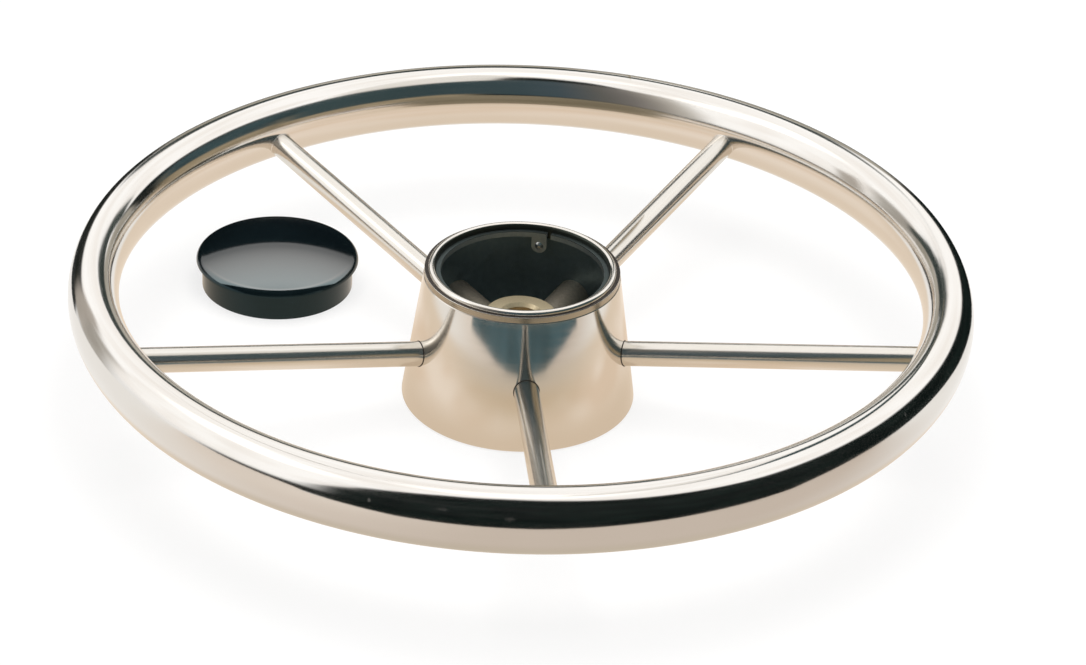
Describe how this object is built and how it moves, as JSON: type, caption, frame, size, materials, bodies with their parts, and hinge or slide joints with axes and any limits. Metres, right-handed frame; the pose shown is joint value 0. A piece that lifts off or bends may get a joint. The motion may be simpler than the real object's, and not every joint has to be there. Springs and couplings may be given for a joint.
{
  "type": "boat steering wheel",
  "caption": "Polished stainless boat steering wheel: oval tube rim on round spokes, conical hub open over a tapered boss, and a domed black push-in cap beside it.",
  "frame": {"origin": "centre of the hub's base, on the surface that the wheel stands on", "axes": "+Z along the helm shaft towards the driver, -Y along the front spoke"},
  "size_m": [0.3939, 0.3938, 0.0671],
  "materials": {
    "polished_stainless": "mirror polished",
    "brushed_stainless": "satin, unpolished inside the hub",
    "turned_stainless": "turned",
    "spring_stainless": "dull rolled strip",
    "black_plastic": "moulded, glossy"
  },
  "bodies": {
    "root": {"rim_tube": "polished_stainless", "spoke_front": "polished_stainless", "spoke_right": "polished_stainless", "spoke_rear_right": "polished_stainless", "spoke_rear_left": "polished_stainless", "spoke_left": "polished_stainless", "sleeve_front": "brushed_stainless", "sleeve_right": "brushed_stainless", "sleeve_rear_right": "brushed_stainless", "sleeve_rear_left": "brushed_stainless", "sleeve_left": "brushed_stainless", "hub_shell": "polished_stainless", "base_plate": "brushed_stainless", "taper_boss": "turned_stainless", "cap_seat_ring": "spring_stainless", "ring_stud": "turned_stainless", "centre_cap": "black_plastic"}
  },
  "joints": []
}
